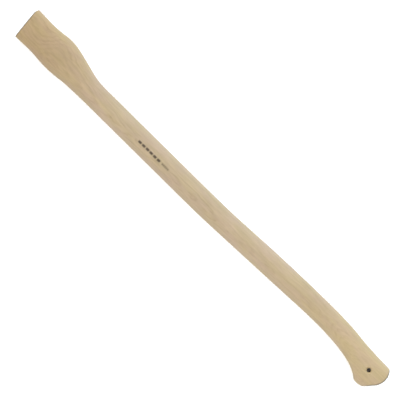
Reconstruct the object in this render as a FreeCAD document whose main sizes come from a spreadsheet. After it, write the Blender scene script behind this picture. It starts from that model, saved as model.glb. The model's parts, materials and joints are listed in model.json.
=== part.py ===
"""Curved ash haft for a splitting maul: the bare wooden handle, with no head fitted.

The haft lies on one of its two broad sides. In the row frame +X runs from the knob to the eye end,
+Y points to the front, which is the side of the cutting edge and of the knob's toe, and +Z is up.
The origin is at the bottom centre of the haft's box.

Inside the body x is measured from the heel of the knob, y from the axis of the straight shaft, and
z from the middle plane, about which the haft is symmetric.
"""

import FreeCAD, Part
import math
import os

import Sketcher

SIZES = [
    # name, millimetres (or degrees, or a plain share), what it is
    ("overall_length", 800, "heel of the knob to the eye end"),
    # The tongue that fills the eye of the head.
    ("eye_front", 21.8, "front edge of the tongue's waist, from the shaft's axis"),
    ("eye_back", 32.9, "back edge of the tongue's waist, from the shaft's axis"),
    ("eye_flare", 1.3, "how far each edge opens from the waist to the end"),
    ("eye_thickness", 24, "tongue, side to side"),
    ("eye_fullness", 0.88, "squareness of the tongue's section"),
    ("waist_distance", 33, "eye end to the waist"),
    ("end_slant", 5.4, "how far the eye end is off square, in degrees"),
    ("end_rounding", 0.8, "rounding of the eye end's edges"),
    ("corner_width", 7.6, "eased back corner of the eye end, across the haft"),
    ("corner_length", 2.3, "eased back corner of the eye end, along the haft"),
    ("kerf_width", 3, "saw kerf for the wedge"),
    ("kerf_depth", 50, "eye end to the bottom of the kerf"),
    # The shoulder that stops the head.
    ("shoulder_distance", 73, "eye end to the widest part of the shoulder"),
    ("shoulder_front", 23.8, "front edge of the shoulder, from the shaft's axis"),
    ("shoulder_back", 35.9, "back edge of the shoulder, from the shaft's axis"),
    ("shoulder_thickness", 29.6, "shoulder, side to side"),
    ("shoulder_fullness", 0.74, "squareness of the shoulder's section"),
    # The straight shaft.
    ("neck_distance", 160, "eye end to where the shaft becomes parallel"),
    ("shaft_depth", 38.9, "shaft, front to back"),
    ("shaft_thickness", 27, "shaft, side to side"),
    ("shaft_fullness", 0.65, "squareness of the shaft's section"),
    # The bend, down to the throat of the grip.
    ("bend_distance", 415, "heel to where the bend starts"),
    ("bend_lean", 0.35, "how far the middle line already leans back there"),
    ("throat_distance", 142, "heel to the slimmest part of the grip"),
    ("throat_front", 9.8, "front edge of the throat, from the shaft's axis"),
    ("throat_back", 27.3, "back edge of the throat, from the shaft's axis"),
    ("throat_thickness", 25, "throat, side to side"),
    # The knob.
    ("toe_distance", 36.5, "heel to the toe, where the throat's hollow ends"),
    ("toe_front", 30.9, "front edge where the hollow ends, from the shaft's axis"),
    ("toe_back", 21.1, "back edge across from there, from the shaft's axis"),
    ("crest_distance", 29.5, "heel to the toe's furthest point"),
    ("crest_front", 31.9, "the toe's furthest point, from the shaft's axis"),
    ("tip_distance", 18.8, "heel to the corner between the toe and the foot"),
    ("tip_front", 29.4, "that corner, from the shaft's axis"),
    ("heel_back", 20.2, "back edge at the heel, from the shaft's axis"),
    ("heel_radius", 26, "rounding of the heel"),
    ("heel_shift", 2.5, "middle of the heel's rounding, behind the shaft's axis"),
    ("foot_angle", 41, "slanted foot, off square, in degrees"),
    ("knob_thickness", 30, "knob, side to side"),
    ("knob_fullness", 0.82, "squareness of the knob's section"),
    ("rim_radius", 2.4, "rounding of the knob's rim"),
    # The hole to hang the haft by.
    ("hole_diameter", 7, "hanging hole"),
    ("hole_chamfer", 2, "chamfer at both mouths of the hanging hole"),
    ("hole_distance", 30, "heel to the middle of the hole"),
    ("hole_front", 3.9, "hole, in front of the shaft's axis"),
]

# How the edges run between two named sections: the share of the way along, then the share of the
# change that the front edge and the back edge have made by then.
END_TO_WAIST = [(0.33, 0.32, 0.28), (0.67, 0.70, 0.64)]
WAIST_TO_SHOULDER = [(0.35, 0.22, 0.16), (0.68, 0.78, 0.70)]
SHOULDER_TO_NECK = [(0.20, 0.17, 0.11), (0.36, 0.58, 0.30), (0.56, 0.82, 0.58), (0.77, 0.95, 0.86)]
NECK_TO_BEND = [(share, share, share) for share in (0.05, 0.13, 0.28, 0.50, 0.72, 0.92)]
BEND_TO_THROAT = [(0.25, 0.19, 0.14), (0.50, 0.48, 0.58), (0.75, 0.77, 0.88)]
THROAT_TO_TOE = [(0.30, 0.04, 0.08), (0.52, 0.14, 0.31), (0.68, 0.28, 0.62), (0.80, 0.45, 0.80),
                 (0.90, 0.67, 0.90)]
CREST_SHARE = 0.2  # how far the back edge has come in at the crest, on its way from toe to heel
TIP_SHARE = 0.5  # how far it has come in at the tip
FRONT_FALL = 4  # how far the front edge falls from the tip to the end of the blank
WASTE = 6  # length left on each end of the blank, which the end cuts take off
CLEAR = 60  # how far the outline of a cut stands off the haft
START, END, CENTRE = 1, 2, 3  # the points of a line, an arc or a pole
ORIGIN = (-1, START)
X_AXIS = -1

doc = FreeCAD.newDocument("helve")
sheet = doc.addObject("Spreadsheet::Sheet", "Sizes")
for line, (alias, value, words) in enumerate(SIZES, start=1):
    sheet.set(f"A{line}", words)
    sheet.set(f"B{line}", str(value))
    sheet.setAlias(f"B{line}", alias)
doc.recompute()

haft = doc.addObject("PartDesign::Body", "haft")
haft.Label = "haft"
doc.recompute()


def value_of(expression):
    """What an expression is worth now, as a plain number."""
    value = haft.evalExpression(expression)
    return getattr(value, "Value", value)


def between(start, end, share):
    """The expression a share of the way from one expression to another."""
    return f"({start} + ({end} - {start}) * {share:.4f})"


def ease(share):
    """A share from 0 to 1, eased in and out."""
    return share * share * (3 - 2 * share)


def point(x, y):
    """A point of a sketch."""
    return FreeCAD.Vector(x, y, 0)


def sketch_on(role, name):
    """An empty sketch on one of the body's origin planes."""
    plane = next(feature for feature in haft.Origin.OriginFeatures if feature.Role == role)
    sketch = haft.newObject("Sketcher::SketchObject", name)
    sketch.AttachmentSupport = [(plane, "")]
    sketch.MapMode = "FlatFace"
    return sketch


def drive(sketch, name, expression, kind, *ends):
    """Adds a dimension to a sketch and binds it to an expression."""
    value = value_of(expression)
    if kind == "Angle":
        value = math.radians(value)
    number = sketch.addConstraint(Sketcher.Constraint(kind, *ends, value))
    sketch.renameConstraint(number, name)
    sketch.setExpression(f"Constraints.{name}", expression)


def quarter(sketch, corners):
    """A quarter of an oval: one cubic curve with its four poles shown. Returns their numbers."""
    curve = Part.BSplineCurve()
    curve.buildFromPolesMultsKnots(corners, [4, 4], [0, 1], False, 3)
    number = sketch.addGeometry(curve, False)
    sketch.exposeInternalGeometry(number)
    return [number, number + 1, number + 2, number + 3, number + 4]


def section(name, x, front, back, thickness, fullness):
    """An oval section of the haft. All but its name are expressions."""
    sketch = sketch_on("YZ_Plane", name)
    sketch.setExpression("AttachmentOffset.Base.z", x)
    front_edge = value_of(front)
    back_edge = value_of(back)
    half = value_of(thickness) / 2
    full = value_of(fullness)
    middle = (front_edge - back_edge) / 2
    run = full * (front_edge + back_edge) / 2
    rise = full * half

    rim = [point(front_edge, 0), point(front_edge, rise), point(middle + run, half),
           point(middle, half), point(middle - run, half), point(-back_edge, rise),
           point(-back_edge, 0), point(-back_edge, -rise), point(middle - run, -half),
           point(middle, -half), point(middle + run, -half), point(front_edge, -rise),
           point(front_edge, 0)]
    top_front, top_back, low_back, low_front = [
        quarter(sketch, rim[first:first + 4]) for first in (0, 3, 6, 9)]
    centre = sketch.addGeometry(Part.Point(point(middle, 0)), True)

    quarters = [top_front, top_back, low_back, low_front]
    for before, after in zip(quarters, quarters[1:] + quarters[:1]):
        sketch.addConstraint(Sketcher.Constraint("Coincident", before[0], END, after[0], START))
    nose = (top_front[0], START)
    crown = (top_front[0], END)
    tail = (top_back[0], END)
    keel = (low_back[0], END)
    nose_handle = (top_front[2], CENTRE)
    crown_handle = (top_front[3], CENTRE)
    rules = [
        ("PointOnObject", *nose, X_AXIS),
        ("PointOnObject", *tail, X_AXIS),
        ("Symmetric", *nose, *tail, centre, START),
        ("Vertical", *crown, centre, START),
        ("Vertical", *nose_handle, *nose),
        ("Horizontal", *crown_handle, *crown),
        ("Symmetric", *crown_handle, top_back[2], CENTRE, *crown),
        ("Vertical", top_back[3], CENTRE, *tail),
        ("Horizontal", top_back[3], CENTRE, *nose_handle),
        ("Symmetric", *crown, *keel, X_AXIS),
        ("Symmetric", top_back[3], CENTRE, low_back[2], CENTRE, X_AXIS),
        ("Symmetric", top_back[2], CENTRE, low_back[3], CENTRE, X_AXIS),
        ("Symmetric", *crown_handle, low_front[2], CENTRE, X_AXIS),
        ("Symmetric", *nose_handle, low_front[3], CENTRE, X_AXIS),
    ]
    sketch.addConstraint([Sketcher.Constraint(*rule) for rule in rules])
    drive(sketch, "front", front, "DistanceX", *ORIGIN, *nose)
    drive(sketch, "back", back, "DistanceX", *tail, *ORIGIN)
    drive(sketch, "half", f"{thickness} / 2", "DistanceY", *ORIGIN, *crown)
    drive(sketch, "rise", f"{fullness} * {thickness} / 2", "DistanceY", *nose, *nose_handle)
    drive(sketch, "run", f"{fullness} * ({front} + {back}) / 2", "DistanceX", *crown, *crown_handle)
    return sketch


def sections_between(name, ends, shares):
    """Sections that carry the haft from one named section to another."""
    start, end = ends
    made = []
    for number, (along, front_share, back_share) in enumerate(shares, start=1):
        x, front, back, thickness, fullness = [between(a, b, share) for a, b, share in zip(
            start, end, (along, front_share, back_share, ease(along), ease(along)))]
        made.append(section(f"{name}_{number}", x, front, back, thickness, fullness))
    return made


# Each named section: where it is, its front edge, its back edge, its thickness and its fullness.
eye_end = (f"(Sizes.overall_length + {WASTE})", "(Sizes.eye_front + Sizes.eye_flare)",
           "(Sizes.eye_back + Sizes.eye_flare)", "Sizes.eye_thickness", "Sizes.eye_fullness")
waist = ("(Sizes.overall_length - Sizes.waist_distance)", "Sizes.eye_front",
         "Sizes.eye_back", "Sizes.eye_thickness", "Sizes.eye_fullness")
shoulder = ("(Sizes.overall_length - Sizes.shoulder_distance)", "Sizes.shoulder_front",
            "Sizes.shoulder_back", "Sizes.shoulder_thickness", "Sizes.shoulder_fullness")
neck = ("(Sizes.overall_length - Sizes.neck_distance)", "(Sizes.shaft_depth / 2)",
        "(Sizes.shaft_depth / 2)", "Sizes.shaft_thickness", "Sizes.shaft_fullness")
bend = ("Sizes.bend_distance", "(Sizes.shaft_depth / 2 - Sizes.bend_lean)",
        "(Sizes.shaft_depth / 2 + Sizes.bend_lean)", "Sizes.shaft_thickness",
        "Sizes.shaft_fullness")
throat = ("Sizes.throat_distance", "Sizes.throat_front", "Sizes.throat_back",
          "Sizes.throat_thickness", "Sizes.shaft_fullness")
toe = ("Sizes.toe_distance", "Sizes.toe_front", "Sizes.toe_back", "Sizes.knob_thickness",
       "Sizes.knob_fullness")
crest = ("Sizes.crest_distance", "Sizes.crest_front",
         between("Sizes.toe_back", "Sizes.heel_back", CREST_SHARE), "Sizes.knob_thickness",
         "Sizes.knob_fullness")
tip = ("Sizes.tip_distance", "Sizes.tip_front",
       between("Sizes.toe_back", "Sizes.heel_back", TIP_SHARE), "Sizes.knob_thickness",
       "Sizes.knob_fullness")
heel = (f"-{WASTE}", f"(Sizes.tip_front - {FRONT_FALL})", "Sizes.heel_back",
        "Sizes.knob_thickness", "Sizes.knob_fullness")

blank = haft.newObject("PartDesign::AdditiveLoft", "Blank")
blank.Profile = section("eye_end", *eye_end)
blank.Sections = [
    *sections_between("flare", (eye_end, waist), END_TO_WAIST),
    section("waist", *waist),
    *sections_between("rise", (waist, shoulder), WAIST_TO_SHOULDER),
    section("shoulder", *shoulder),
    *sections_between("fall", (shoulder, neck), SHOULDER_TO_NECK),
    section("neck", *neck),
    *sections_between("shaft", (neck, bend), NECK_TO_BEND),
    section("bend", *bend),
    *sections_between("sweep", (bend, throat), BEND_TO_THROAT),
    section("throat", *throat),
    *sections_between("hollow", (throat, toe), THROAT_TO_TOE),
    section("toe", *toe),
]
doc.recompute()

knob = haft.newObject("PartDesign::AdditiveLoft", "Knob")
knob.Profile = section("knob_start", *toe)
knob.Sections = [section("crest", *crest), section("tip", *tip), section("heel", *heel)]
doc.recompute()


def outline(sketch, corners):
    """Straight lines from each corner to the next. Returns their numbers."""
    lines = [sketch.addGeometry(Part.LineSegment(point(*start), point(*end)), False)
             for start, end in zip(corners, corners[1:])]
    for before, after in zip(lines, lines[1:]):
        sketch.addConstraint(Sketcher.Constraint("Coincident", before, END, after, START))
    return lines


def constrain(sketch, rules):
    """Adds a list of geometric constraints to a sketch."""
    sketch.addConstraint([Sketcher.Constraint(*rule) for rule in rules])


def cut(name, sketch):
    """Cuts a sketch's outline right through the haft, evenly to both sides."""
    pocket = haft.newObject("PartDesign::Pocket", name)
    pocket.Profile = sketch
    pocket.SideType = "Symmetric"
    pocket.Type = "Length"
    pocket.Length = 4 * CLEAR
    doc.recompute()
    return pocket


def border(feature, faces):
    """Names of the edges that run round a group of a feature's faces."""
    names = []
    for number, edge in enumerate(feature.Shape.Edges, start=1):
        touching = sum(any(side.isSame(edge) for side in face.Edges) for face in faces)
        if touching == 1:
            names.append(f"Edge{number}")
    return names


def cut_faces(feature, start, end):
    """The flat and round faces that the end cuts have left in a stretch of the haft."""
    return [face for face in feature.Shape.Faces
            if isinstance(face.Surface, (Part.Plane, Part.Cylinder))
            and start < face.CenterOfMass.x < end]


length = value_of("Sizes.overall_length")
middle = length / 2

# The knob's end: a round heel that runs straight on into the slanted foot.
radius = value_of("Sizes.heel_radius")
shift = value_of("Sizes.heel_shift")
foot = math.radians(value_of("Sizes.foot_angle"))
top = value_of("Sizes.crest_front") + WASTE
join_x = radius - radius * math.cos(foot)
join_y = radius * math.sin(foot) - shift
foot_x = join_x + (top - join_y) * math.tan(foot)

end_of_knob = sketch_on("XY_Plane", "end_of_knob")
circle = Part.Circle(point(radius, -shift), FreeCAD.Vector(0, 0, 1), radius)
heel_arc = end_of_knob.addGeometry(Part.ArcOfCircle(circle, math.pi - foot, 1.5 * math.pi), False)
foot_line, top_line, left_line, low_line, right_line = outline(end_of_knob, [
    (join_x, join_y), (foot_x, top), (-CLEAR, top), (-CLEAR, -CLEAR), (radius, -CLEAR),
    (radius, -shift - radius)])
constrain(end_of_knob, [
    ("Tangent", foot_line, START, heel_arc, START),
    ("Coincident", right_line, END, heel_arc, END),
    ("Vertical", heel_arc, CENTRE, heel_arc, END),
    ("Horizontal", top_line),
    ("Vertical", left_line),
    ("Horizontal", low_line),
    ("Vertical", right_line),
])
drive(end_of_knob, "radius", "Sizes.heel_radius", "Radius", heel_arc)
drive(end_of_knob, "centre", "Sizes.heel_radius", "DistanceX", *ORIGIN, heel_arc, CENTRE)
drive(end_of_knob, "shift", "Sizes.heel_shift", "DistanceY", heel_arc, CENTRE, *ORIGIN)
drive(end_of_knob, "slant", "90 - Sizes.foot_angle", "Angle", foot_line)
drive(end_of_knob, "top", f"Sizes.crest_front + {WASTE}", "DistanceY", *ORIGIN, foot_line, END)
drive(end_of_knob, "left", f"{CLEAR}", "DistanceX", left_line, END, *ORIGIN)
drive(end_of_knob, "low", f"{CLEAR}", "DistanceY", low_line, START, *ORIGIN)
cut("KnobEnd", end_of_knob)

# The eye end: sawn a little off square, with the back corner eased.
slant = math.radians(value_of("Sizes.end_slant"))
knee = value_of("Sizes.eye_back + Sizes.eye_flare - Sizes.corner_width")
ease_angle = "atan(Sizes.corner_width / Sizes.corner_length)"
ease_slope = math.tan(math.radians(value_of(ease_angle)))

end_of_eye = sketch_on("XY_Plane", "end_of_eye")
ease_line, saw_line, top_line, right_line, low_line = outline(end_of_eye, [
    (length - (CLEAR - knee) / ease_slope, -CLEAR), (length, -knee),
    (length - (CLEAR + knee) * math.tan(slant), CLEAR), (length + CLEAR, CLEAR),
    (length + CLEAR, -CLEAR), (length - (CLEAR - knee) / ease_slope, -CLEAR)])
constrain(end_of_eye, [
    ("Coincident", low_line, END, ease_line, START),
    ("Horizontal", top_line),
    ("Vertical", right_line),
    ("Horizontal", low_line),
])
drive(end_of_eye, "length", "Sizes.overall_length", "DistanceX", *ORIGIN, saw_line, START)
drive(end_of_eye, "knee", "Sizes.eye_back + Sizes.eye_flare - Sizes.corner_width", "DistanceY",
      saw_line, START, *ORIGIN)
drive(end_of_eye, "slant", "90 + Sizes.end_slant", "Angle", saw_line)
drive(end_of_eye, "ease", ease_angle, "Angle", ease_line)
drive(end_of_eye, "top", f"{CLEAR}", "DistanceY", *ORIGIN, saw_line, END)
drive(end_of_eye, "low", f"{CLEAR}", "DistanceY", ease_line, START, *ORIGIN)
drive(end_of_eye, "right", f"{CLEAR}", "DistanceX", saw_line, START, right_line, START)
eye_cut = cut("EyeEnd", end_of_eye)

rim = haft.newObject("PartDesign::Fillet", "Rim")
rim.Base = (eye_cut, border(eye_cut, cut_faces(eye_cut, 0, middle)))
rim.setExpression("Radius", "Sizes.rim_radius")
doc.recompute()

end_edge = haft.newObject("PartDesign::Fillet", "EndEdge")
end_edge.Base = (rim, border(rim, cut_faces(rim, middle, length)))
end_edge.setExpression("Radius", "Sizes.end_rounding")
doc.recompute()

# The kerf that the wedge is driven into lies in the middle plane and runs from front to back.
kerf_start = length - value_of("Sizes.kerf_depth")
kerf_side = value_of("Sizes.kerf_width") / 2
kerf_sketch = sketch_on("XZ_Plane", "kerf")
bottom, upper, outer, lower = outline(kerf_sketch, [
    (kerf_start, -kerf_side), (kerf_start, kerf_side), (length + CLEAR, kerf_side),
    (length + CLEAR, -kerf_side), (kerf_start, -kerf_side)])
constrain(kerf_sketch, [
    ("Coincident", lower, END, bottom, START),
    ("Symmetric", bottom, START, bottom, END, X_AXIS),
    ("Horizontal", upper),
    ("Vertical", outer),
    ("Horizontal", lower),
])
drive(kerf_sketch, "start", "Sizes.overall_length - Sizes.kerf_depth", "DistanceX", *ORIGIN,
      bottom, START)
drive(kerf_sketch, "width", "Sizes.kerf_width", "DistanceY", bottom, START, bottom, END)
drive(kerf_sketch, "run_out", f"Sizes.kerf_depth + {CLEAR}", "DistanceX", upper, START, upper, END)
cut("Kerf", kerf_sketch)

# The hanging hole goes straight through the knob, with both mouths chamfered.
hole_sketch = sketch_on("XY_Plane", "hole")
bore = Part.Circle(point(value_of("Sizes.hole_distance"), value_of("Sizes.hole_front")),
                   FreeCAD.Vector(0, 0, 1), value_of("Sizes.hole_diameter") / 2)
ring = hole_sketch.addGeometry(bore, False)
drive(hole_sketch, "diameter", "Sizes.hole_diameter", "Diameter", ring)
drive(hole_sketch, "along", "Sizes.hole_distance", "DistanceX", *ORIGIN, ring, CENTRE)
drive(hole_sketch, "front", "Sizes.hole_front", "DistanceY", *ORIGIN, ring, CENTRE)
hole = cut("HangingHole", hole_sketch)

wall = [face for face in cut_faces(hole, 0, middle)
        if face.Surface.Axis.cross(FreeCAD.Vector(0, 0, 1)).Length < 1e-6
        and abs(face.CenterOfMass.x - value_of("Sizes.hole_distance")) < 1]
mouths = haft.newObject("PartDesign::Chamfer", "Mouths")
mouths.Base = (hole, border(hole, wall))
mouths.setExpression("Size", "Sizes.hole_chamfer")
doc.recompute()

# The row frame: the middle of the haft's box over the origin, and the haft lying on z = 0.
haft.setExpression("Placement.Base.x", "-Sizes.overall_length / 2")
haft.setExpression("Placement.Base.y", "(max(Sizes.shoulder_back; Sizes.eye_back + Sizes.eye_flare)"
                   " - max(Sizes.crest_front; Sizes.shoulder_front)) / 2")
haft.setExpression("Placement.Base.z", "max(Sizes.shoulder_thickness; Sizes.knob_thickness) / 2")
doc.recompute()

for feature in doc.Objects:
    if {"Invalid", "Error"} & set(feature.State):
        raise RuntimeError(f"{feature.Name} did not build: {feature.State}")
if haft.Shape.isNull() or not haft.Shape.isValid() or len(haft.Shape.Solids) != 1:
    raise RuntimeError("the haft is not one valid solid")

os.makedirs("parts", exist_ok=True)
haft.Shape.exportStep("parts/haft.step")
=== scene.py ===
"""The looks of a splitting maul's haft: bare sanded ash, lying on its side on a white floor.

The haft keeps the frame's own shape. Its material is a block of wood with growth rings round a pith
that lies under the haft, so every surface cuts the same rings: wide figures on the broad sides, close
lines on the narrow ones, and arcs with pores on the sawn ends. All lengths are in metres.
"""

import json
import math

import bpy
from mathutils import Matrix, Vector


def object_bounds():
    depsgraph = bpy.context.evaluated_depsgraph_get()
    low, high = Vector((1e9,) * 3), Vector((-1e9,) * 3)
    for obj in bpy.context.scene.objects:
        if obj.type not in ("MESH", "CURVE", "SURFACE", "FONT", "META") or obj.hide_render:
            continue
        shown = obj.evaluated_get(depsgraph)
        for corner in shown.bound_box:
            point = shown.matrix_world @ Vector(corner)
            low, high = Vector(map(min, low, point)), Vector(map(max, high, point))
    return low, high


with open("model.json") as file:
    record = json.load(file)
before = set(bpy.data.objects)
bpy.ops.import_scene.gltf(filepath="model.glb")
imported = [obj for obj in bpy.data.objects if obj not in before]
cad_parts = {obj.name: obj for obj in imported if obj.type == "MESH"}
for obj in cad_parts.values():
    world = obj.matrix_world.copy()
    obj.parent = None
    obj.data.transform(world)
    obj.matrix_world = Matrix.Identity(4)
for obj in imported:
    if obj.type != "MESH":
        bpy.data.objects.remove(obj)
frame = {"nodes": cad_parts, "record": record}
cad_low, cad_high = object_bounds()
middle = (cad_low + cad_high) / 2

# Colours, as linear red, green and blue. A tint is a colour that others are multiplied by.
LATEWOOD = (0.570, 0.436, 0.280)
EARLYWOOD = (0.508, 0.376, 0.230)
INK = (0.045, 0.026, 0.014)
NO_TINT = (1.0, 1.0, 1.0)
ROSY_TINT = (1.01, 0.985, 1.0)
GOLDEN_TINT = (1.0, 1.005, 0.91)
# The end grain's greyer tint is also partly painted shade on the rounded rims at the ends.
END_GRAIN_AND_SHADE_TINT = (0.90, 1.0, 1.20)
# The two eye tints are painted shade: the eye darker than the shaft, and its front darker than its
# back.
EYE_BACK_SHADE_TINT = (0.955, 0.905, 0.785)
EYE_FRONT_SHADE_TINT = (0.852, 0.787, 0.655)
KNOB_TINT = (1.03, 1.015, 0.915)
FLOOR_BOUNCE = (0.72, 0.72, 0.72)
FLOOR_MIRRORED = (1.0, 1.0, 1.0)
FLOOR_SEEN = (1.8, 1.8, 1.8)

# Where the tints, the painted shade at the eye and the figure change, along the haft and across it.
EYE_SHADE_START = cad_high.x - 0.220
EYE_SHADE_END = cad_high.x - 0.020
EYE_BACK = cad_low.y + 0.0019
EYE_MIDDLE = 0.0
KNOB_TINT_START = cad_low.x + 0.300
KNOB_TINT_END = cad_low.x + 0.040
FAINT_START = cad_low.x + 0.180
FAINT_END = cad_low.x + 0.040

# The tree that the haft was cut from. Its pith runs under the haft and bows away from it.
PITH_ACROSS = -0.013  # the pith's place across the haft
PITH_DEPTH = 0.085  # how far it lies under the floor, where it is nearest
BOW_PLACE = -0.10  # where that is, along the haft
PITH_BOW = 0.020  # how much deeper it is a metre away
RING = 0.00070  # one year's growth
WANDER = 0.0040  # how far the rings stray from side to side in long waves
RIPPLE = 0.0015  # and in short ones

# A ring starts with earlywood, which is full and then gone at these shares of the ring's width.
EARLY_FULL = 0.10
EARLY_GONE = 0.62
WEAK_YEAR = 0.35  # the least earlywood that a year has, as a share of the most
FAINT_YEARS = 0.35  # how much of it shows at the knob
BROKEN_RING = 0.45  # how much shows where a ring is broken

# How long a blotch of each texture is along each axis, unless the texture has its own axes.
WANDER_PITCH = (0.16, 0.15, 0.15)
RIPPLE_PITCH = (0.028, 0.012, 0.012)
BROKEN_PITCH = (0.030, 0.006, 0.006)
FIBRE_PITCH = (0.050, 0.0007, 0.0007)
STREAK_PITCH = (0.16, 0.004, 0.004)
PATCH_PITCH = (0.06, 0.02, 0.02)
FLECK_PITCH = (0.016, 0.0024, 0.0024)
PORE_PITCH = (0.007, 0.00028, 0.00028)
RAY_PITCH = (0.0012, 0.0040, 0.00018)  # along the haft, out from the pith and round it
HUE_PITCH = (0.045, 0.012, 0.012)
RIDGE_PITCH = (0.05, 0.02, 0.0011)  # along the haft, along the saw's stroke and across it

# The values of each noise at which its texture is at its least and at its most.
NOISE_RANGE = (0.3, 0.7)
BROKEN_RANGE = (0.35, 0.60)
PORE_RANGE = (0.58, 0.66)
RAY_RANGE = (0.60, 0.72)
HUE_RANGE = (0.35, 0.65)
SOAK_RANGE = (0.35, 0.65)

# How much each texture lightens or darkens the wood.
FIBRE_SHADE = 0.040
STREAK_SHADE = 0.035
PATCH_SHADE = 0.036
FLECK_SHADE = 0.044
PORE_SHADE = -0.30
RAY_SHADE = 0.05

# Wood that is cut across the grain. How squarely a surface has to face along the haft to show its
# open fibres, from none to all of them, depends on whether it is near an end of the haft. Near the
# ends the darker, greyer band spreads over the rounded rims: partly open end grain, partly painted
# shade.
CUT_RANGE = (0.45, 0.85)
END_CUT_AND_SHADE_RANGE = (0.05, 0.35)
END_PLACE = cad_high.x - 0.012
END_BLEND = 0.012
OPEN_LATEWOOD = 0.56  # how light its open fibres are, as a share of wood cut along the grain
OPEN_EARLYWOOD = 0.16
END_GRAIN_SHARE = 0.6  # how much of the end grain's tint it takes

# The sawn eye end, the dark line round it and the ridges across it. The line is placed by its height
# over the sawn face, the ridges by their place along the haft and by how squarely they face along it.
SAWN_END = next(mount for mount in frame["record"]["mounts"] if mount["name"] == "eye_end")
DARK_LINE_START = -0.0017
DARK_LINE_END = -0.0009
RIDGES_START = cad_high.x - 0.100
RIDGES_BLEND = 0.010
RIDGES_FACING = (0.90, 0.97)
STROKE_SLANT = 0.25  # how far the saw's stroke drops for each metre to the front

# The hanging hole. Its wall and chamfer are kept pale, without the darker cut grain, as a painted
# highlight for the lit wall. The pale wood reaches this far out from its wall, over the chamfer.
HOLE = next(mount for mount in frame["record"]["mounts"] if mount["name"] == "hang_hole")
HOLE_HIGHLIGHT_REACH = 0.0019
HOLE_HIGHLIGHT_BLEND = 0.0004

# The surface.
IOR = 1.5
ROUGHNESS = (0.46, 0.58)
SHEEN = 0.15
SHEEN_ROUGHNESS = 0.40
BUMP_STRENGTH = 0.35
BUMP_HEIGHT = 0.0001
RIDGE_HEIGHT = 3.0  # this and the pores' depth are in shares of the fibres' height
PORE_DEPTH = -1.0

# The ink mark on the upper broad side: two rows of plain blocks.
MARK_END = cad_high.x - 0.259
MARK_MIDDLE = 0.0044
MARKS = [
    # distance on from the mark's end, length, blocks, share of each that is inked, height, darkness
    (0.0, 0.0490, 6, 0.76, 0.0040, 0.92),
    (0.0515, 0.0150, 5, 0.66, 0.0032, 0.66),
]
MARK_FRAY = 0.0006  # how far the fibres shift its long edges
THIN_INK = 0.82  # the share of the ink that shows where the fibres soak it up
MARK_FACING = (0.2, 0.4)  # how squarely a surface faces up where it has no ink and where it has all

# The light: a white sky, and suns that shine from these directions.
SKY = 0.80  # how strongly it lights the haft
SKY_SEEN = 1.0  # and how strong it is in the picture and in gloss
SUNS = [
    # name, direction, strength, spread in degrees, colour, whether it leaves gloss on the wood
    ("key", (0.50, -0.60, 0.60), 0.45, 15, (1.0, 1.0, 1.0), True),
    ("rake", (0.10, -0.98, 0.20), 1.34, 30, (0.62, 0.93, 1.42), False),
    ("fill", (-0.10, 0.92, 0.30), 0.45, 40, (0.85, 1.0, 1.20), True),
]

# The floor, which just clears the haft.
FLOOR_SIZE = 60.0
FLOOR_GAP = 0.0002

# The camera. Its place is measured from the middle of the haft.
CAMERA_PLACE = Vector((0.0070, 0.0026, 6.0))
CAMERA_TURN = 224.73  # degrees about its line of sight
VIEW_WIDTH = 0.6304  # how much it sees from side to side, at the haft


def wire(tree, source, target):
    """Links an output to an input, or sets the input to a plain value."""
    if isinstance(source, bpy.types.NodeSocket):
        tree.links.new(source, target)
    else:
        target.default_value = source


def calc(tree, operation, *values):
    """A Math node."""
    node = tree.nodes.new("ShaderNodeMath")
    node.operation = operation
    for value, target in zip(values, node.inputs):
        wire(tree, value, target)
    return node.outputs[0]


def product(tree, *values):
    """Several values multiplied together."""
    total = values[0]
    for value in values[1:]:
        total = calc(tree, "MULTIPLY", total, value)
    return total


def distance(tree, first, second):
    """The long side of a triangle whose short sides are two values."""
    squares = [product(tree, value, value) for value in (first, second)]
    return calc(tree, "SQRT", calc(tree, "ADD", *squares))


def vector(tree, operation, *values):
    """A Vector Math node."""
    node = tree.nodes.new("ShaderNodeVectorMath")
    node.operation = operation
    for value, target in zip(values, node.inputs):
        wire(tree, value, target)
    return node.outputs[0]


def remap(tree, value, low, high, to_low=0.0, to_high=1.0, smooth=False):
    """A value's run from low to high, laid over another run and held at its ends."""
    node = tree.nodes.new("ShaderNodeMapRange")
    node.interpolation_type = "SMOOTHSTEP" if smooth else "LINEAR"
    for source, name in ((value, "Value"), (low, "From Min"), (high, "From Max"),
                         (to_low, "To Min"), (to_high, "To Max")):
        wire(tree, source, node.inputs[name])
    return node.outputs["Result"]


def mix(tree, share, first, second, blend="MIX"):
    """A mixture of two colours."""
    node = tree.nodes.new("ShaderNodeMix")
    node.data_type = "RGBA"
    node.blend_type = blend
    wire(tree, share, node.inputs["Factor"])
    sides = [socket for socket in node.inputs if socket.type == "RGBA"]
    for source, target in zip((first, second), sides):
        wire(tree, (*source, 1.0) if isinstance(source, tuple) else source, target)
    return [output for output in node.outputs if output.type == "RGBA"][0]


def tinted(tree, colour, tint):
    """A colour multiplied by a tint."""
    return mix(tree, 1.0, colour, tint, blend="MULTIPLY")


def mix_value(tree, share, first, second):
    """A value a share of the way from one value to another."""
    node = tree.nodes.new("ShaderNodeMix")
    for source, name in ((share, "Factor"), (first, "A"), (second, "B")):
        wire(tree, source, node.inputs[name])
    return node.outputs[0]


def join(tree, x, y, z):
    """A vector of three values."""
    node = tree.nodes.new("ShaderNodeCombineXYZ")
    for source, target in zip((x, y, z), node.inputs):
        wire(tree, source, target)
    return node.outputs[0]


def split(tree, source):
    """The three values of a vector."""
    node = tree.nodes.new("ShaderNodeSeparateXYZ")
    tree.links.new(source, node.inputs[0])
    return node.outputs


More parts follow.
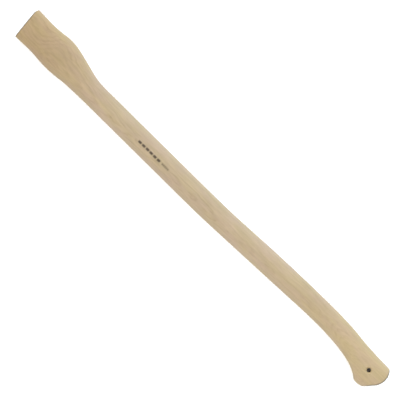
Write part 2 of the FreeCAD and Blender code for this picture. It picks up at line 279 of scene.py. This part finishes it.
def noise(tree, place, pitch, detail=2.0, roughness=0.5):
    """Noise from 0 to 1 whose blotches are about as long as the pitch along each axis."""
    stretched = vector(tree, "DIVIDE", place, pitch)
    node = tree.nodes.new("ShaderNodeTexNoise")
    node.inputs["Scale"].default_value = 1.0
    node.inputs["Detail"].default_value = detail
    node.inputs["Roughness"].default_value = roughness
    tree.links.new(stretched, node.inputs["Vector"])
    return node.outputs["Fac"]


def growth_rings(tree, place):
    """The distance and the angle from the pith, and how much earlywood there is, from 0 to 1."""
    x, y, z = split(tree, place)
    along = calc(tree, "SUBTRACT", x, BOW_PLACE)
    bow = product(tree, along, along, PITH_BOW)
    across = calc(tree, "SUBTRACT", y, PITH_ACROSS)
    above = calc(tree, "ADD", calc(tree, "ADD", z, PITH_DEPTH), bow)
    angle = calc(tree, "ARCTAN2", across, above)
    radius = distance(tree, across, above)
    for pitch, reach in ((WANDER_PITCH, WANDER), (RIPPLE_PITCH, RIPPLE)):
        sway = calc(tree, "SUBTRACT", noise(tree, place, pitch), 0.5)
        radius = calc(tree, "MULTIPLY_ADD", sway, reach, radius)

    years = calc(tree, "DIVIDE", radius, RING)
    season = calc(tree, "FRACT", years)
    setting_in = remap(tree, season, 0.0, EARLY_FULL)
    fading = remap(tree, season, EARLY_FULL, EARLY_GONE, 1.0, 0.0, smooth=True)
    year = tree.nodes.new("ShaderNodeTexWhiteNoise")
    year.noise_dimensions = "1D"
    tree.links.new(calc(tree, "FLOOR", years), year.inputs["W"])
    strength = remap(tree, year.outputs["Value"], 0.0, 1.0, WEAK_YEAR, 1.0)
    faint = remap(tree, x, FAINT_START, FAINT_END, 1.0, FAINT_YEARS, smooth=True)
    broken = remap(tree, noise(tree, place, BROKEN_PITCH), *BROKEN_RANGE, BROKEN_RING, 1.0)
    return radius, angle, product(tree, fading, setting_in, strength, faint, broken)


def wood_tone(tree, place, radius, angle, fibre, pore):
    """How light the wood is: about 1, changed by fibres, streaks, patches, flecks, pores and rays."""
    streak = noise(tree, place, STREAK_PITCH)
    patch = noise(tree, place, PATCH_PITCH, detail=1.0)
    fleck = noise(tree, place, FLECK_PITCH, detail=1.0)
    tone = 1.0
    for texture, shade in ((fibre, FIBRE_SHADE), (streak, STREAK_SHADE), (patch, PATCH_SHADE),
                           (fleck, FLECK_SHADE)):
        tone = calc(tree, "ADD", tone, remap(tree, texture, *NOISE_RANGE, -shade, shade))

    x = split(tree, place)[0]
    round_pith = join(tree, x, radius, calc(tree, "MULTIPLY", angle, PITH_DEPTH))
    ray = remap(tree, noise(tree, round_pith, RAY_PITCH, detail=0.0), *RAY_RANGE)
    for texture, shade in ((pore, PORE_SHADE), (ray, RAY_SHADE)):
        tone = product(tree, tone, calc(tree, "MULTIPLY_ADD", texture, shade, 1.0))
    return tone


def end_grain_and_rim_shade(tree, place, facing_along):
    """0 on wood cut along its grain, 1 on wood cut across it and, near the ends, on the rounded rims,
    where it is partly painted shade. The hanging hole is kept pale, a painted highlight.
    """
    x = split(tree, place)[0]
    at_end = remap(tree, calc(tree, "ABSOLUTE", x), END_PLACE - END_BLEND, END_PLACE)
    first, last = [mix_value(tree, at_end, inside, outside)
                   for inside, outside in zip(CUT_RANGE, END_CUT_AND_SHADE_RANGE)]
    cut = remap(tree, calc(tree, "ABSOLUTE", facing_along), first, last, smooth=True)
    # The hole and its chamfers keep no cut-grain darkening: a painted highlight.
    cut = product(tree, cut, outside_hole_highlight(tree, place))
    return calc(tree, "MAXIMUM", cut, near_sawn_end(tree, place))


def outside_hole_highlight(tree, place):
    """0 in the hanging hole and on its chamfers, which stay pale as a painted highlight, 1 everywhere
    else.
    """
    x, y, _ = split(tree, vector(tree, "SUBTRACT", place, tuple(HOLE["pos_m"])))
    edge = HOLE["dims"]["r_mm"] / 1000 + HOLE_HIGHLIGHT_REACH
    return remap(tree, distance(tree, x, y), edge, edge + HOLE_HIGHLIGHT_BLEND)


def near_sawn_end(tree, place):
    """1 on the face of the eye end and the narrow dark line round it, 0 everywhere else."""
    offset = vector(tree, "SUBTRACT", place, tuple(SAWN_END["pos_m"]))
    x, y, z = split(tree, vector(tree, "MULTIPLY", offset, tuple(SAWN_END["axis"])))
    height = calc(tree, "ADD", x, calc(tree, "ADD", y, z))
    return remap(tree, height, DARK_LINE_START, DARK_LINE_END)


def place_tint_and_eye_shade(tree, place):
    """The slow change of colour along the haft, and the painted shade at the eye, darker on its front
    than on its back.
    """
    x, y, _ = split(tree, place)
    eye = mix(tree, remap(tree, y, EYE_BACK, EYE_MIDDLE), EYE_BACK_SHADE_TINT, EYE_FRONT_SHADE_TINT)
    tint = mix(tree, remap(tree, x, EYE_SHADE_START, EYE_SHADE_END, smooth=True), NO_TINT, eye)
    return mix(tree, remap(tree, x, KNOB_TINT_START, KNOB_TINT_END, smooth=True), tint, KNOB_TINT)


def mark_share(tree, place, facing_up, fibre):
    """How much ink lies on a place: rows of plain blocks whose edges follow the fibres a little."""
    x, y, _ = split(tree, place)
    y = calc(tree, "ADD", y, calc(tree, "MULTIPLY_ADD", fibre, MARK_FRAY, -MARK_FRAY / 2))
    aside = calc(tree, "ABSOLUTE", calc(tree, "SUBTRACT", y, MARK_MIDDLE))
    total = 0.0
    for start, length, blocks, inked, height, darkness in MARKS:
        along = remap(tree, x, MARK_END - start, MARK_END - start - length, 0.0, blocks)
        row = product(tree,
                      calc(tree, "LESS_THAN", calc(tree, "FRACT", along), inked),
                      calc(tree, "GREATER_THAN", along, 0.0),
                      calc(tree, "LESS_THAN", along, blocks),
                      calc(tree, "LESS_THAN", aside, height / 2),
                      darkness)
        total = calc(tree, "MAXIMUM", total, row)
    soaked = remap(tree, fibre, *SOAK_RANGE, 1.0, THIN_INK)
    return product(tree, total, soaked, remap(tree, facing_up, *MARK_FACING))


def saw_ridges(tree, place, facing_along):
    """The height of the low ridges that the saw has left across the eye end, and 0 elsewhere."""
    x, y, z = split(tree, place)
    across_stroke = calc(tree, "MULTIPLY_ADD", y, STROKE_SLANT, z)
    ridges = noise(tree, join(tree, x, y, across_stroke), RIDGE_PITCH, detail=1.0)
    near_end = remap(tree, x, RIDGES_START, RIDGES_START + RIDGES_BLEND)
    return product(tree, remap(tree, facing_along, *RIDGES_FACING), near_end, ridges)


def wood_material():
    """Pale ring-porous ash, sanded and left bare."""
    material = bpy.data.materials.new("ash")
    material.use_nodes = True
    tree = material.node_tree
    shader = tree.nodes["Principled BSDF"]
    coordinates = tree.nodes.new("ShaderNodeTexCoord").outputs
    place = coordinates["Object"]
    facing_along, _, facing_up = split(tree, coordinates["Normal"])

    radius, angle, early = growth_rings(tree, place)
    fibre = noise(tree, place, FIBRE_PITCH, detail=3.0, roughness=0.6)
    pore = product(tree, remap(tree, noise(tree, place, PORE_PITCH, detail=1.0), *PORE_RANGE), early)
    across_grain_and_rim_shade = end_grain_and_rim_shade(tree, place, facing_along)
    open_fibres = mix_value(tree, early, OPEN_LATEWOOD, OPEN_EARLYWOOD)
    tone = product(tree, wood_tone(tree, place, radius, angle, fibre, pore),
                   mix_value(tree, across_grain_and_rim_shade, 1.0, open_fibres))
    hue = remap(tree, noise(tree, place, HUE_PITCH, detail=1.0), *HUE_RANGE)

    colour = mix(tree, early, LATEWOOD, EARLYWOOD)
    colour = tinted(tree, colour, join(tree, tone, tone, tone))
    colour = tinted(tree, colour, place_tint_and_eye_shade(tree, place))
    colour = tinted(tree, colour, mix(tree, hue, ROSY_TINT, GOLDEN_TINT))
    # Cut grain is greyer; on the rounded rims at the ends this is partly painted shade.
    colour = mix(tree, product(tree, across_grain_and_rim_shade, END_GRAIN_SHARE), colour,
                 tinted(tree, colour, END_GRAIN_AND_SHADE_TINT))
    colour = mix(tree, mark_share(tree, place, facing_up, fibre), colour, INK)

    bump = tree.nodes.new("ShaderNodeBump")
    bump.inputs["Strength"].default_value = BUMP_STRENGTH
    bump.inputs["Distance"].default_value = BUMP_HEIGHT
    height = calc(tree, "MULTIPLY_ADD", pore, PORE_DEPTH, fibre)
    height = calc(tree, "MULTIPLY_ADD", saw_ridges(tree, place, facing_along), RIDGE_HEIGHT, height)
    tree.links.new(height, bump.inputs["Height"])

    tree.links.new(colour, shader.inputs["Base Color"])
    tree.links.new(remap(tree, fibre, *NOISE_RANGE, *ROUGHNESS), shader.inputs["Roughness"])
    tree.links.new(bump.outputs[0], shader.inputs["Normal"])
    shader.inputs["IOR"].default_value = IOR
    shader.inputs["Sheen Weight"].default_value = SHEEN
    shader.inputs["Sheen Roughness"].default_value = SHEEN_ROUGHNESS
    return material


def floor_material():
    """White to the camera and in reflections; a plain pale floor to the light that bounces off it."""
    material = bpy.data.materials.new("floor")
    material.use_nodes = True
    tree = material.node_tree
    tree.nodes.remove(tree.nodes["Principled BSDF"])
    rays = tree.nodes.new("ShaderNodeLightPath").outputs
    mirrored = calc(tree, "MAXIMUM", rays["Is Glossy Ray"], rays["Is Transmission Ray"])
    colour = mix(tree, mirrored, FLOOR_BOUNCE, FLOOR_MIRRORED)
    colour = mix(tree, rays["Is Camera Ray"], colour, FLOOR_SEEN)
    diffuse = tree.nodes.new("ShaderNodeBsdfDiffuse")
    tree.links.new(colour, diffuse.inputs["Color"])
    tree.links.new(diffuse.outputs[0], tree.nodes["Material Output"].inputs["Surface"])
    return material


def add_floor():
    """A wide floor under the haft."""
    place = (middle.x, middle.y, cad_low.z - FLOOR_GAP)
    bpy.ops.mesh.primitive_plane_add(size=FLOOR_SIZE, location=place)
    floor = bpy.context.object
    floor.name = "floor"
    floor.data.materials.append(floor_material())


def add_sky():
    """A white sky that lights the haft a little more weakly than it is seen."""
    world = bpy.data.worlds.new("world")
    bpy.context.scene.world = world
    world.use_nodes = True
    tree = world.node_tree
    rays = tree.nodes.new("ShaderNodeLightPath").outputs
    seen = calc(tree, "MAXIMUM", rays["Is Camera Ray"],
                calc(tree, "MAXIMUM", rays["Is Glossy Ray"], rays["Is Transmission Ray"]))
    background = tree.nodes["Background"]
    background.inputs["Color"].default_value = (1.0, 1.0, 1.0, 1.0)
    tree.links.new(remap(tree, seen, 0.0, 1.0, SKY, SKY_SEEN), background.inputs["Strength"])


def add_sun(name, direction, strength, spread, colour, glossy):
    """A sun that shines from a direction."""
    light = bpy.data.lights.new(name, "SUN")
    light.energy = strength
    light.angle = math.radians(spread)
    light.color = colour
    lamp = bpy.data.objects.new(name, light)
    lamp.visible_glossy = glossy
    lamp.rotation_euler = Vector(direction).to_track_quat("Z", "Y").to_euler()
    bpy.context.collection.objects.link(lamp)


def add_camera():
    """Straight above the broad side, turned so that the haft crosses the picture."""
    camera = bpy.data.cameras.new("camera")
    camera.lens = camera.sensor_width * CAMERA_PLACE.z / VIEW_WIDTH
    holder = bpy.data.objects.new("camera", camera)
    holder.location = middle + CAMERA_PLACE
    holder.rotation_euler = (0.0, 0.0, math.radians(CAMERA_TURN))
    bpy.context.collection.objects.link(holder)
    bpy.context.scene.camera = holder


def dress_haft():
    """Gives the haft its wood."""
    wood = wood_material()
    for slot in frame["nodes"]["haft"].material_slots:
        slot.material = wood


add_camera()
add_floor()
add_sky()
for sun in SUNS:
    add_sun(*sun)
dress_haft()

bpy.context.scene.view_settings.view_transform = "Standard"
